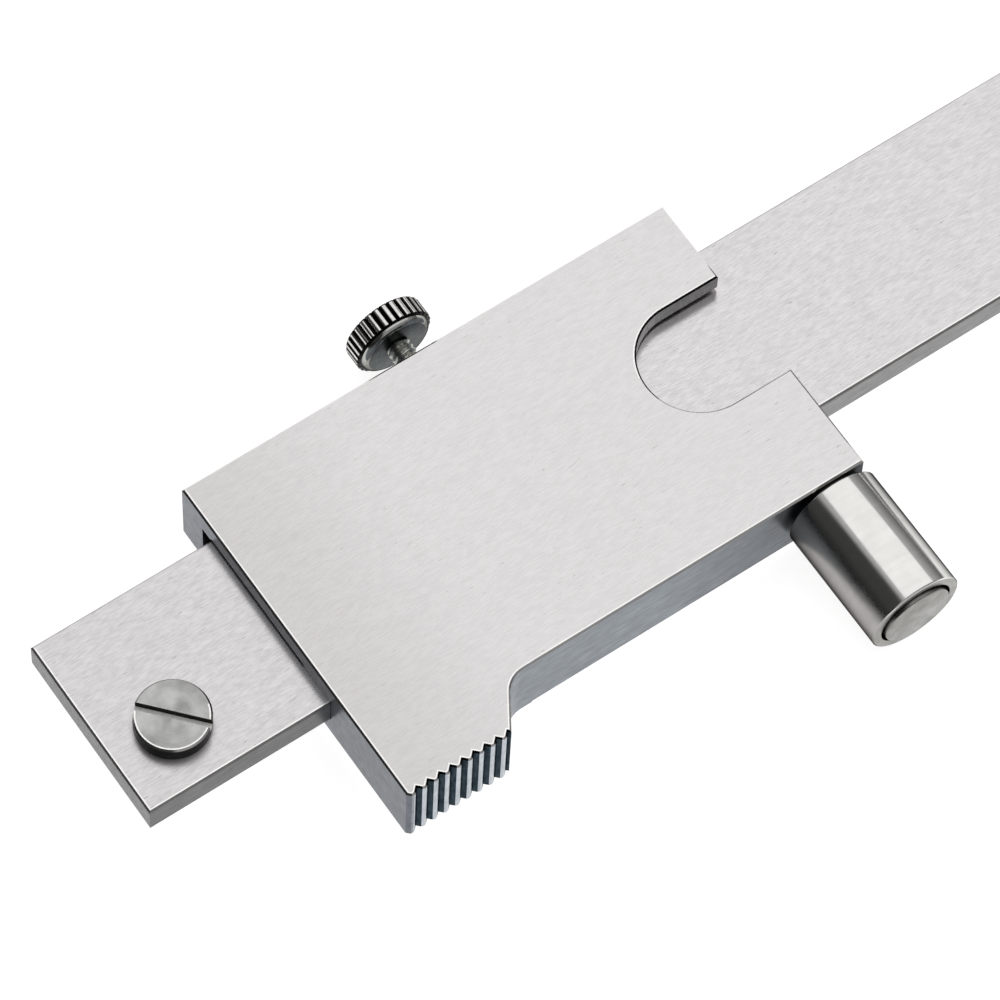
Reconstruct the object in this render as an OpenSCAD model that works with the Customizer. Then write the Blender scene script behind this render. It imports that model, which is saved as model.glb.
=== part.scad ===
// Parallel scriber: a flat beam with a scribing blade screwed across one end, and a slider
// that carries a guide roller, a thumb rest, a vernier and a lock screw.
// X runs along the beam towards the scribing end, Y towards the lock screw, and the back
// face of the beam is up. The origin lies under the middle of the whole tool, at the level
// that the roller and the blade lie on.

/* [Beam] */
// Length of the beam
beam_l = 264; // [180:1:400]
// Height of the beam between its two narrow edges
beam_h = 16; // [15:0.5:20]
// Thickness of the beam
beam_t = 2.8; // [2.6:0.1:4]
// Bevel along the edges of the beam
beam_bevel = 0.15; // [0.05:0.05:0.3]

/* [Slider] */
// Distance from the stop end of the beam to the slider as it stands here
slider_x = 15.8; // [12:0.1:60]
// Length of the slider along the beam
slider_l = 43.5; // [42:0.1:56]
// Height of the slider above the upper edge of the beam
slider_rise = 3.85; // [3.2:0.05:5]
// Height of the slider below the lower edge of the beam
slider_drop = 6.25; // [6:0.05:9]
// Thickness of the plate over the back of the beam
plate_t = 2; // [1.8:0.1:3.4]
// Thickness of the lip over the front of the beam
lip_t = 2.2; // [1.5:0.1:2.6]
// Bevel along the edges of the slider
slider_bevel = 0.15; // [0.05:0.01:0.3]
// Room in the channel above the beam, where the gib strip lies
gib_space = 1.13; // [1.1:0.01:1.5]
// Height of the land on which the back plate slides
land_h = 3.6; // [2:0.1:5]
// Depth of the relief between the lands of the back plate
relief_d = 0.35; // [0.1:0.05:0.5]

/* [Thumb rest] */
// Length of the serrated crest of the thumb rest
thumb_l = 9.03; // [7:0.1:12]
// Height of the crest below the lower edge of the slider
thumb_drop = 3.9; // [3:0.1:5]
// Slope of the flank that leads back to the lower edge, in degrees
thumb_slope = 57; // [45:1:75]
// Radius of the blend at the foot of the flank
thumb_blend = 2.2; // [1:0.1:2.5]
// Rounded-off corner at the end of the thumb rest
thumb_corner = 0.3; // [0.1:0.05:0.4]
// Distance from one serration to the next
serration_pitch = 1; // [0.9:0.02:1.4]
// Depth of a serration
serration_d = 0.36; // [0.2:0.01:0.42]
// Distance from the end of the slider to the first serration
serration_x = 0.96; // [0.7:0.01:1.2]

/* [Notch in the back plate] */
// Width of the notch
notch_w = 9.44; // [8:0.02:11]
// Distance from the end of the slider to the centre of the round end of the notch
notch_in = 5.1; // [4:0.1:8]
// Height of the middle of the notch above the lower edge of the beam
notch_y = 7.8; // [7:0.1:8.5]

/* [Window and vernier] */
// Length of the window in the front lip
window_l = 25; // [22:0.5:26]
// Height of the upper edge of the window above the lower edge of the beam
window_top = 13.2; // [11:0.1:14]
// Height of the lower edge of the window above the lower edge of the beam
window_low = 0.8; // [0.4:0.1:1.5]
// Radius in the upper corners of the window
window_r = 1; // [0.5:0.1:2]
// Distance from the window to the side of the slider that carries the roller
window_in = 8.85; // [8:0.05:10]
// Height of the reading edge of the vernier above the lower edge of the beam
vernier_top = 6.5; // [5:0.1:8]
// Height of the vernier plate below the lower edge of the beam
vernier_drop = 5.2; // [4.5:0.1:5.6]
// Thickness of the vernier plate
vernier_t = 1.2; // [1:0.05:1.4]
// Thickness left at the reading edge
vernier_edge_t = 0.25; // [0.15:0.05:0.4]
// Height of the bevel behind the reading edge
vernier_bevel_h = 3.2; // [2:0.1:4]
// Distance from each end of the vernier plate to its screw
vernier_screw_in = 3; // [2.5:0.1:5]
// Radius of the thread of a vernier screw
vernier_thread_r = 0.8; // [0.6:0.05:1]
// Radius of the head of a vernier screw
vernier_head_r = 1.4; // [1.3:0.05:1.6]
// Thickness of the head of a vernier screw
vernier_head_t = 0.6; // [0.5:0.05:0.7]
// Length of the thread of a vernier screw under its head
vernier_thread_l = 3; // [2.5:0.1:4]

/* [Gib] */
// Thickness of the gib strip
gib_t = 0.9; // [0.7:0.05:0.95]
// Length of the gib strip
gib_l = 40; // [36:0.5:41.5]
// Distance from each end of the gib strip to its set screw
gib_screw_in = 5; // [3:0.5:8]
// Radius of the thread of a gib screw
gib_thread_r = 1; // [0.8:0.05:1.2]
// Radius of the nose of a gib screw
gib_nose_r = 0.5; // [0.4:0.05:0.6]

/* [Lock screw] */
// Distance from the stop side of the slider to the lock screw
lock_x = 21.1; // [18:0.1:26]
// Radius of the knurled head
lock_head_r = 3.35; // [3:0.05:5]
// Thickness of the knurled head
lock_head_t = 2.2; // [1.8:0.1:3]
// Distance from the slider to the head
lock_reach = 2.64; // [1.5:0.02:4]
// Radius of the thread
lock_thread_r = 1.25; // [1.25:0.05:1.5]
// Number of ridges around the head
knurl_count = 30; // [20:1:40]
// Depth of the knurl
knurl_d = 0.26; // [0.15:0.01:0.35]
// Width of the smooth bevel under the knurl
lock_shoulder = 0.36; // [0.2:0.02:0.5]
// Thickness of the pad between the screw and the gib strip
pad_t = 1.3; // [1:0.05:1.5]

/* [Guide roller] */
// Distance from the end of the slider to the axis of the roller
roller_in = 2.95; // [2.6:0.05:3.6]
// Radius of the roller
roller_r = 3.9; // [3.8:0.05:5]
// Length of the roller
roller_l = 10.7; // [8:0.1:16]
// Bevel at the ends of the roller
roller_bevel = 0.1; // [0.05:0.05:0.5]
// Radius of the pin that the roller turns on
pin_r = 2; // [1.8:0.05:2.4]
// Radius of the head of the pin
pin_head_r = 2.86; // [2.7:0.02:3.1]
// Thickness of the head of the pin
pin_head_t = 1.3; // [1:0.1:2]
// How far the head of the pin stands out of the roller
pin_proud = 0.3; // [0:0.05:0.6]
// Radius of the end of the pin that is pressed into the slider
pin_tail_r = 1.5; // [1.2:0.05:1.7]
// Length of the end of the pin in the slider
pin_tail_l = 4.6; // [3:0.1:5]
// Width of the open ring around the head of the pin
ring_gap = 0.26; // [0.2:0.02:0.4]
// Thickness of the washer between roller and slider
washer_t = 0.34; // [0.3:0.02:0.6]
// Outer radius of the washer
washer_r = 3; // [2.8:0.05:3.4]

/* [Scriber] */
// Width of the scriber blade
blade_w = 8; // [7.5:0.5:10]
// Depth of the seat milled across the front of the beam
seat_d = 1; // [0.6:0.1:1.4]
// Distance from the upper edge of the beam to the top of the blade
blade_inset = 0.5; // [0.2:0.1:1]
// Reach of the scribing point below the lower edge of the beam
point_drop = 10.5; // [9:0.1:14]
// Distance below the beam at which the blade starts to taper
taper_drop = 3.5; // [2:0.1:5]
// Width of the scribing point
point_w = 0.4; // [0.2:0.05:0.6]
// Height of the bevels that thin the blade to its point
point_bevel_h = 3.2; // [2:0.1:4]
// Length of the carbide tip
tip_l = 6; // [4.5:0.1:6.5]
// Width of the carbide tip
tip_w = 2.2; // [1.6:0.1:2.8]

/* [Cheese-head screws] */
// Distance from the end of the beam to the stop screw
stop_x = 5.35; // [4.5:0.05:7]
// Height of the stop screw above the lower edge of the beam
stop_y = 5.1; // [4.5:0.1:8]
// Radius of the head of the stop screw
stop_head_r = 2.95; // [2.6:0.05:3.4]
// Thickness of the head of the stop screw
stop_head_t = 1.4; // [1.2:0.1:2]
// Radius of the thread of the stop screw
stop_thread_r = 1.5; // [1.2:0.1:1.8]
// Turn of the slot of the stop screw against the beam, in degrees
stop_turn = -48; // [-90:1:90]
// Width of the screwdriver slots
slot_w = 0.62; // [0.4:0.02:0.8]
// Depth of the screwdriver slots
slot_d = 0.7; // [0.4:0.1:0.9]
// Radius of the head of the scriber screw
clamp_head_r = 3.5; // [3:0.1:3.7]
// Thickness of the head of the scriber screw
clamp_head_t = 1.6; // [1.4:0.1:2.2]
// Radius of the thread of the scriber screw
clamp_thread_r = 2; // [1.6:0.1:2.2]
// Turn of the slot of the scriber screw against the beam, in degrees
clamp_turn = 25; // [-90:1:90]

/* [Hidden] */
$fn = 72;
// Cuts run past the faces that they open by this much
overrun = 0.5;
// Radial clearance of a running or sliding fit
run_gap = 0.05;
// Clearance between a pressed or threaded piece and its hole
seat_gap = 0.02;
// Clearance behind the tip of a screw or pin
end_gap = 0.15;
// Clearance between pieces on different bodies that touch in use
touch_gap = 0.02;
// Clearance of the pad in the threaded hole, beyond that of the screw
pad_gap = 0.15;
// Broken edge of a turned head, as a share of its thickness
edge_share = 0.1;
// Width of a small screwdriver slot, as a share of the diameter it crosses
small_slot_share = 0.14;
// Radius and length of the nib that carries the pad, as shares of the pad
nib_r_share = 0.45;
nib_l_share = 0.4;
// Width of the top and of the bottom of a ridge of the knurl, as shares of its step
land_share = 0.3;
root_share = 0.2;

// The roller turns about the middle of the slider's thickness
front_z = -beam_t - lip_t;
slider_t = plate_t - front_z;
roller_z = (plate_t + front_z) / 2;
foot_z = roller_z - roller_r;
slider_end = slider_x + slider_l;
roller_x = slider_end - roller_in;
lower_y = -slider_drop;
upper_y = beam_h + slider_rise;
crest_y = lower_y - thumb_drop;

// Guide roller, from the slider outwards
washer_y = lower_y - washer_t;
roller_y = washer_y - run_gap;
roller_end = roller_y - roller_l;
pin_end = roller_end - pin_proud;
head_y = pin_end + pin_head_t;
head_seat = head_y + run_gap;

// Channel, gib strip and lock screw, from the beam upwards
channel_low = -run_gap;
channel_high = beam_h + gib_space;
gib_y = beam_h + run_gap;
gib_top = gib_y + gib_t;
gib_x = slider_x + (slider_l - gib_l) / 2;
gib_z = -beam_t + end_gap;
gib_h = beam_t - 2 * end_gap;
gib_hole_r = gib_nose_r + run_gap;
gib_nose_l = gib_t - end_gap;
gib_slot_w = 2 * gib_thread_r * small_slot_share;
pad_y = gib_top + touch_gap;
pad_r = lock_thread_r - pad_gap;
tip_y = pad_y + pad_t + touch_gap;
nib_r = pad_r * nib_r_share;
nib_l = pad_t * nib_l_share;
lock_head_y = upper_y + lock_reach;
lock_top = lock_head_y + lock_head_t;
lock_cx = slider_x + lock_x;

// Scriber, from the edge that scribes
edge_x = beam_l - blade_w;
blade_t = seat_d - beam_t - foot_z;
blade_z = seat_d - beam_t;
blade_top = beam_h - blade_inset;
point_y = -point_drop;
clamp_x = edge_x + blade_w / 2;
clamp_y = beam_h / 2;
clamp_l = beam_t - seat_d + blade_t - end_gap;
point_edge_t = point_w / 2;

// Vernier plate in its pocket
window_x0 = slider_end - window_in - window_l;
vernier_x0 = window_x0 + run_gap;
vernier_l = window_l - 2 * run_gap;
vernier_z = front_z + vernier_t;
vernier_y0 = -vernier_drop;
vernier_screw_y = vernier_y0 / 2 - vernier_head_r / 2;
vernier_hole_r = vernier_thread_r + seat_gap;

// Middle of the whole tool, for the origin
low_y = min(pin_end, crest_y, point_y);
mid_x = beam_l / 2;
mid_y = (lock_top + low_y) / 2;

// Moves a piece from the corner of the beam to the origin of the tool
module in_place() {
    translate([-mid_x, -mid_y, -foot_z]) children();
}

// Turns a piece that is drawn standing up so that it points along +Y
module along_y() {
    rotate([-90, 0, 0]) children();
}

// Extrudes a section drawn in Y and Z along X
module section_along_x(length) {
    rotate([90, 0, 90]) linear_extrude(height = length) children();
}

// Bevels an edge that runs along X
module bevel_x(length, size) {
    translate([length / 2, 0, 0]) rotate([45, 0, 0])
        cube([length + 2 * overrun, size * sqrt(2), size * sqrt(2)], center = true);
}

// Bevels an edge that runs along Y
module bevel_y(length, size) {
    translate([0, length / 2, 0]) rotate([0, 45, 0])
        cube([size * sqrt(2), length + 2 * overrun, size * sqrt(2)], center = true);
}

// Slotted cheese-head screw: head above the origin, thread below it
module cheese_screw(head_r, head_t, thread_r, thread_l) {
    edge = head_t * edge_share;
    difference() {
        union() {
            rotate_extrude() polygon([[0, 0], [head_r, 0], [head_r, head_t - edge],
                [head_r - edge, head_t], [0, head_t]]);
            translate([0, 0, -thread_l]) cylinder(r = thread_r, h = thread_l + head_t / 2);
        }
        translate([-head_r - overrun, -slot_w / 2, head_t - slot_d])
            cube([2 * (head_r + overrun), slot_w, slot_d + overrun]);
    }
}

module beam() {
    color("gainsboro") in_place() difference() {
        translate([0, 0, -beam_t]) cube([beam_l, beam_h, beam_t]);
        // Seat of the blade, open at the end and at both edges
        translate([edge_x, -overrun, -beam_t - overrun])
            cube([blade_w + overrun, beam_h + 2 * overrun, seat_d + overrun]);
        translate([stop_x, stop_y, -beam_t - overrun])
            cylinder(r = stop_thread_r + seat_gap, h = beam_t + 2 * overrun);
        translate([clamp_x, clamp_y, -beam_t - overrun])
            cylinder(r = clamp_thread_r + run_gap, h = beam_t + 2 * overrun);
        for (y = [0, beam_h], z = [0, -beam_t]) translate([0, y, z]) bevel_x(beam_l, beam_bevel);
        for (x = [0, beam_l]) translate([x, 0, 0]) bevel_y(beam_h, beam_bevel);
        translate([0, 0, -beam_t]) bevel_y(beam_h, beam_bevel);
    }
}

module stop_screw() {
    color("silver") in_place() translate([stop_x, stop_y, 0]) rotate(stop_turn)
        cheese_screw(stop_head_r, stop_head_t, stop_thread_r, beam_t - end_gap);
}

// Blade and tip together: straight on the scribing side, tapered on the other, and thinned
// from both faces to the point
module scriber_form() {
    intersection() {
        translate([edge_x, 0, foot_z]) linear_extrude(height = blade_t) polygon([
            [0, blade_top], [blade_w, blade_top], [blade_w, -taper_drop],
            [point_w, point_y], [0, point_y]]);
        translate([edge_x - overrun, 0, 0]) section_along_x(blade_w + 2 * overrun) {
            mid = (foot_z + blade_z) / 2;
            polygon([[blade_top + overrun, foot_z - overrun], [point_y + point_bevel_h, foot_z - overrun],
                [point_y + point_bevel_h, foot_z], [point_y, mid - point_edge_t],
                [point_y, mid + point_edge_t], [point_y + point_bevel_h, blade_z],
                [point_y + point_bevel_h, blade_z + overrun], [blade_top + overrun, blade_z + overrun]]);
        }
    }
}

// Room of the carbide tip in the lower corner of the blade
module tip_room() {
    translate([edge_x - overrun, point_y - overrun, foot_z - overrun])
        cube([tip_w + overrun, tip_l + overrun, blade_t + 2 * overrun]);
}

module scriber_blade() {
    color("gray") in_place() difference() {
        scriber_form();
        tip_room();
        translate([clamp_x, clamp_y, foot_z - overrun])
            cylinder(r = clamp_thread_r + seat_gap, h = blade_t + 2 * overrun);
    }
}

module carbide_tip() {
    color("dimgray") in_place() intersection() {
        scriber_form();
        tip_room();
    }
}

module scriber_screw() {
    color("silver") in_place() translate([clamp_x, clamp_y, 0]) rotate(clamp_turn)
        cheese_screw(clamp_head_r, clamp_head_t, clamp_thread_r, clamp_l);
}

// Outline of the slider seen from the back, without its serrations
module slider_outline() {
    flank_run = thumb_drop / tan(thumb_slope);
    foot = [slider_x + thumb_l + flank_run, lower_y];
    half_turn = (180 - thumb_slope) / 2;
    reach = thumb_blend / tan(half_turn);
    centre = foot + thumb_blend / sin(half_turn) * [cos(half_turn), -sin(half_turn)];
    polygon([[slider_x, upper_y], [slider_end, upper_y], [slider_end, lower_y], foot,
        [slider_x + thumb_l, crest_y], [slider_x + thumb_corner, crest_y],
        [slider_x, crest_y + thumb_corner]]);
    difference() {
        polygon([foot, foot + [reach, 0], centre,
            foot - reach * [cos(thumb_slope), sin(thumb_slope)]]);
        translate(centre) circle(r = thumb_blend);
    }
}

// V-shaped serrations across the crest of the thumb rest
module serrations() {
    count = floor((thumb_l - serration_x) / serration_pitch) + 1;
    for (i = [0 : count - 1])
        translate([slider_x + serration_x + i * serration_pitch, crest_y]) rotate(45)
            square(serration_d * sqrt(2), center = true);
}

// The channel that the beam runs in, with a relief in its roof
module channel() {
    through = slider_l + 2 * overrun;
    translate([slider_x - overrun, channel_low, -beam_t - run_gap])
        cube([through, channel_high - channel_low, beam_t + 2 * run_gap]);
    translate([slider_x - overrun, land_h, 0])
        cube([through, beam_h - land_h, relief_d]);
}

// The notch in the back plate, round inside and open at the end of the slider
module notch() {
    translate([slider_end - notch_in, notch_y, 0]) {
        cylinder(r = notch_w / 2, h = plate_t + overrun);
        translate([0, -notch_w / 2, 0]) cube([notch_in + overrun, notch_w, plate_t + overrun]);
    }
}

// The window in the front lip and the pocket of the vernier plate below it
module window() {
    translate([window_x0, window_low, front_z - overrun]) linear_extrude(height = lip_t + 2 * overrun) {
        high = window_top - window_low;
        square([window_l, high - window_r]);
        translate([window_r, 0]) square([window_l - 2 * window_r, high]);
        for (x = [window_r, window_l - window_r]) translate([x, high - window_r]) circle(r = window_r);
    }
    translate([window_x0, vernier_y0 - run_gap, front_z - overrun])
        cube([window_l, window_low + vernier_drop + run_gap + overrun, vernier_t + overrun]);
}

module slider_bevels() {
    foot_x = slider_x + thumb_l + thumb_drop / tan(thumb_slope) + thumb_blend;
    for (z = [plate_t, front_z]) {
        translate([slider_x, upper_y, z]) bevel_x(slider_l, slider_bevel);
        translate([foot_x + overrun, lower_y, z])
            bevel_x(slider_end - foot_x - overrun, slider_bevel);
        translate([slider_x, crest_y, z]) bevel_y(upper_y - crest_y, slider_bevel);
        translate([slider_end, lower_y, z]) bevel_y(upper_y - lower_y, slider_bevel);
    }
}

// Place of each gib screw
module at_gib_screws() {
    for (x = [gib_x + gib_screw_in, gib_x + gib_l - gib_screw_in])
        translate([x, 0, gib_z + gib_h / 2]) children();
}

// Place of each vernier screw, at the front face
module at_vernier_screws() {
    for (x = [vernier_x0 + vernier_screw_in, vernier_x0 + vernier_l - vernier_screw_in])
        translate([x, vernier_screw_y, front_z]) children();
}

module slider_body() {
    wall = upper_y - channel_high;
    color("gainsboro") in_place() difference() {
        translate([0, 0, front_z]) linear_extrude(height = slider_t) difference() {
            slider_outline();
            serrations();
        }
        channel();
        notch();
        window();
        slider_bevels();
        translate([lock_cx, channel_high - overrun, roller_z]) along_y()
            cylinder(r = lock_thread_r + seat_gap, h = wall + 2 * overrun);
        at_gib_screws() translate([0, channel_high - overrun, 0]) along_y()
            cylinder(r = gib_thread_r + seat_gap, h = wall + 2 * overrun);
        translate([roller_x, lower_y - overrun, roller_z]) along_y()
            cylinder(r = pin_tail_r + seat_gap, h = pin_tail_l + end_gap + overrun);
        at_vernier_screws() cylinder(r = vernier_hole_r, h = vernier_head_t + vernier_thread_l + end_gap);
    }
}

module vernier_plate() {
    color("lightgray") in_place() difference() {
        translate([vernier_x0, 0, 0]) section_along_x(vernier_l) polygon([
            [vernier_y0, vernier_z], [vernier_top, vernier_z],
            [vernier_top, vernier_z - vernier_edge_t], [vernier_top - vernier_bevel_h, front_z],
            [vernier_y0, front_z]]);
        at_vernier_screws() {
            translate([0, 0, -overrun])
                cylinder(r = vernier_head_r + run_gap, h = vernier_head_t + overrun);
            cylinder(r = vernier_hole_r, h = vernier_t + overrun);
        }
    }
}

module vernier_screws() {
    groove_w = 2 * vernier_head_r * small_slot_share;
    color("silver") in_place() at_vernier_screws() difference() {
        union() {
            cylinder(r = vernier_head_r, h = vernier_head_t);
            cylinder(r = vernier_thread_r, h = vernier_head_t + vernier_thread_l);
        }
        translate([-vernier_head_r - overrun, -groove_w / 2, -overrun])
            cube([2 * (vernier_head_r + overrun), groove_w, vernier_head_t / 2 + overrun]);
    }
}

module gib_strip() {
    color("goldenrod") in_place() difference() {
        translate([gib_x, gib_y, gib_z]) cube([gib_l, gib_t, gib_h]);
        at_gib_screws() translate([0, gib_y - overrun, 0]) along_y()
            cylinder(r = gib_hole_r, h = gib_t + 2 * overrun);
    }
}

module gib_screws() {
    shoulder = gib_top + run_gap;
    body_l = upper_y - end_gap - shoulder;
    color("dimgray") in_place() at_gib_screws() translate([0, shoulder, 0]) along_y() difference() {
        union() {
            cylinder(r = gib_thread_r, h = body_l);
            translate([0, 0, -gib_nose_l]) cylinder(r = gib_nose_r, h = gib_nose_l + body_l / 2);
        }
        translate([-gib_thread_r - overrun, -gib_slot_w / 2, body_l - gib_thread_r / 2])
            cube([2 * (gib_thread_r + overrun), gib_slot_w, gib_thread_r + overrun]);
    }
}

// Pad that hangs on the tip of the lock screw and presses the gib strip without turning
module lock_pad() {
    color("goldenrod") in_place() translate([lock_cx, pad_y, roller_z]) along_y() difference() {
        cylinder(r = pad_r, h = pad_t);
        translate([0, 0, pad_t - nib_l - end_gap])
            cylinder(r = nib_r + run_gap, h = nib_l + end_gap + overrun);
    }
}

// Ridge after ridge around the head, each a flat land between two sloping sides
module knurl_outline() {
    step = 360 / knurl_count;
    polygon([for (i = [0 : knurl_count - 1], corner = [0 : 3])
        let (shares = [-land_share / 2, land_share / 2, (1 - root_share) / 2, (1 + root_share) / 2],
             a = (i + shares[corner]) * step,
             r = corner < 2 ? lock_head_r : lock_head_r - knurl_d)
        r * [cos(a), sin(a)]]);
}

module lock_screw() {
    stem = lock_head_y - tip_y;
    edge = lock_shoulder / 2;
    color("silver") in_place() translate([lock_cx, tip_y, roller_z]) along_y() {
        translate([0, 0, -nib_l]) cylinder(r = nib_r, h = nib_l + stem / 2);
        cylinder(r = lock_thread_r - seat_gap, h = stem + lock_head_t / 2);
        translate([0, 0, stem]) intersection() {
            linear_extrude(height = lock_head_t) knurl_outline();
            rotate_extrude() polygon([[0, 0], [lock_head_r - lock_shoulder, 0],
                [lock_head_r, lock_shoulder], [lock_head_r, lock_head_t - edge],
                [lock_head_r - edge, lock_head_t], [0, lock_head_t]]);
        }
    }
}

// Shouldered pin: its head stands in the end of the roller, its tail is pressed into the slider
module roller_pin() {
    edge = pin_head_t * edge_share;
    neck_l = lower_y - pin_end;
    pin_l = neck_l + pin_tail_l;
    color("silver") in_place() translate([roller_x, pin_end, roller_z]) along_y()
        rotate_extrude() polygon([[0, 0], [pin_head_r - edge, 0], [pin_head_r, edge],
            [pin_head_r, pin_head_t], [pin_r, pin_head_t], [pin_r, neck_l],
            [pin_tail_r, neck_l], [pin_tail_r, pin_l], [0, pin_l]]);
}

module roller_washer() {
    color("gray") in_place() translate([roller_x, washer_y, roller_z]) along_y() difference() {
        cylinder(r = washer_r, h = washer_t);
        translate([0, 0, -overrun]) cylinder(r = pin_r + run_gap, h = washer_t + 2 * overrun);
    }
}

// Sleeve that turns on the pin, with a counterbore round the head of the pin
module roller_sleeve() {
    bore = pin_r + run_gap;
    mouth = pin_head_r + ring_gap;
    depth = head_seat - roller_end;
    color("silver") in_place() translate([roller_x, roller_end, roller_z]) along_y() rotate_extrude()
        polygon([[mouth, 0], [roller_r - roller_bevel, 0], [roller_r, roller_bevel],
            [roller_r, roller_l - roller_bevel], [roller_r - roller_bevel, roller_l],
            [bore, roller_l], [bore, depth], [mouth, depth]]);
}

beam();
stop_screw();
scriber_blade();
carbide_tip();
scriber_screw();
slider_body();
vernier_plate();
vernier_screws();
gib_strip();
gib_screws();
lock_pad();
lock_screw();
roller_pin();
roller_washer();
roller_sleeve();
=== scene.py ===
from math import atan2, cos, hypot, pi, radians, sin, sqrt

import bmesh
import bpy
from mathutils import Matrix, Vector


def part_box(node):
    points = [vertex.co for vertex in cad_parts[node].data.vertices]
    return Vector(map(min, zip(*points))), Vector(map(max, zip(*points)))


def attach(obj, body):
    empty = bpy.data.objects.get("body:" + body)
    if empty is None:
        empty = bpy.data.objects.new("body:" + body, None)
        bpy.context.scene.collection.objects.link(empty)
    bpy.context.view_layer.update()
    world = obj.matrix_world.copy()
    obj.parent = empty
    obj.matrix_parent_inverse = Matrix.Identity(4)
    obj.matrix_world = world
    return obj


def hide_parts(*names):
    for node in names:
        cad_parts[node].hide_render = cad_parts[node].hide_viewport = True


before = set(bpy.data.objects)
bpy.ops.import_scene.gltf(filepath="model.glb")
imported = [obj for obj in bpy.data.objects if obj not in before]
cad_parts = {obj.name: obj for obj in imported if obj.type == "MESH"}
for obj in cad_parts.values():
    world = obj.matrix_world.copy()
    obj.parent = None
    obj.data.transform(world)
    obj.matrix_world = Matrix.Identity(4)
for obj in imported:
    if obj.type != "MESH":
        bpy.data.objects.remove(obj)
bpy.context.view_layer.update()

scene = bpy.context.scene
scene.view_settings.view_transform = "Standard"
MM = 0.001


# Camera: looks down on the back of the tool from beyond its stop end, as in a catalogue
# picture, through a long lens, so that the edges of the beam hardly draw together.
camera_aim = Vector((-96.4676, 3.3540, 5.4)) * MM
camera_heading, camera_fall, camera_roll = 37.3412, 63.2043, 3.2727
camera_distance = 477.088 * MM
focal_length, film_width = 230.8603, 36
nearest_seen, farthest_seen = 0.01, 100

turn = (Matrix.Rotation(radians(-camera_heading), 3, "Z")
        @ Matrix.Rotation(radians(90 - camera_fall), 3, "X")
        @ Matrix.Rotation(radians(camera_roll), 3, "Z"))
camera = bpy.data.objects.new("camera", bpy.data.cameras.new("camera"))
camera.data.lens, camera.data.sensor_width = focal_length, film_width
camera.data.clip_start, camera.data.clip_end = nearest_seen, farthest_seen
camera.matrix_world = (Matrix.Translation(camera_aim - turn @ Vector((0, 0, -1)) * camera_distance)
                       @ turn.to_4x4())
scene.collection.objects.link(camera)
scene.camera = camera


# Table and studio: a pale table top, one wide soft box overhead, and a pale room that darkens
# towards the horizon and has a dark screen on the side of the stop end. The screen draws the
# dark band on the roller and the black lines of the bevels.
def colour(written):
    """An sRGB hex colour as the linear red, green, blue and alpha that a shader takes."""
    parts = [int(written[i:i + 2], 16) / 255 for i in (1, 3, 5)]
    return [c / 12.92 if c <= 0.04045 else ((c + 0.055) / 1.055) ** 2.4 for c in parts] + [1]


def add(tree, kind, links=(), **settings):
    """Adds a node to a tree with its settings; links gives each input a value or an output."""
    made = tree.nodes.new(kind)
    for name, value in settings.items():
        setattr(made, name, value)
    for socket, source in dict(links).items():
        if isinstance(source, bpy.types.NodeSocket):
            tree.links.new(source, made.inputs[socket])
        else:
            made.inputs[socket].default_value = source
    return made


def ramp(tree, value, low, high, to_low=0, to_high=1, smooth=False):
    """Maps the range from low to high onto another one, along an S-curve where smooth."""
    mapped = add(tree, "ShaderNodeMapRange", {"Value": value, "From Min": low, "From Max": high,
                                              "To Min": to_low, "To Max": to_high},
                 interpolation_type="SMOOTHSTEP" if smooth else "LINEAR")
    return mapped.outputs[0]


table_half = 30
table_albedo, table_glow = "#C4C4C4", 0.84
room_low, room_high, room_foot, room_rise = 0.20, 0.55, 0.02, 0.55
screen_start, screen_end, screen_share = 0.36, 0.52, 0.11
soft_box_size, soft_box_place, soft_box_watts = (2.16, 2.0), (0.62, 0.5, 1.2), 8.4

form = bmesh.new()
bmesh.ops.create_grid(form, x_segments=1, y_segments=1, size=table_half)
table_mesh = bpy.data.meshes.new("table_top")
form.to_mesh(table_mesh)
form.free()
table = bpy.data.objects.new("table_top", table_mesh)
scene.collection.objects.link(table)

# Matt white table top: it takes the soft shadow of the tool, and its own glow brings what lies
# outside the shadow up to white for the camera and in the mirror of the metal.
white_table = bpy.data.materials.new("matt_white_table")
white_table.use_nodes = True
tree = white_table.node_tree
tree.nodes.clear()
rays = add(tree, "ShaderNodeLightPath").outputs
seen = add(tree, "ShaderNodeMath", {0: rays["Is Camera Ray"], 1: rays["Is Glossy Ray"]}, operation="MAXIMUM")
seen = add(tree, "ShaderNodeMath", {0: seen.outputs[0], 1: rays["Is Transmission Ray"]}, operation="MAXIMUM")
glow = add(tree, "ShaderNodeMath", {0: seen.outputs[0], 1: table_glow}, operation="MULTIPLY")
shine = add(tree, "ShaderNodeEmission", {"Strength": glow.outputs[0]})
matt = add(tree, "ShaderNodeBsdfDiffuse", {"Color": colour(table_albedo)})
both = add(tree, "ShaderNodeAddShader", {0: matt.outputs[0], 1: shine.outputs[0]})
add(tree, "ShaderNodeOutputMaterial", {"Surface": both.outputs[0]})
table_mesh.materials.append(white_table)

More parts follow.
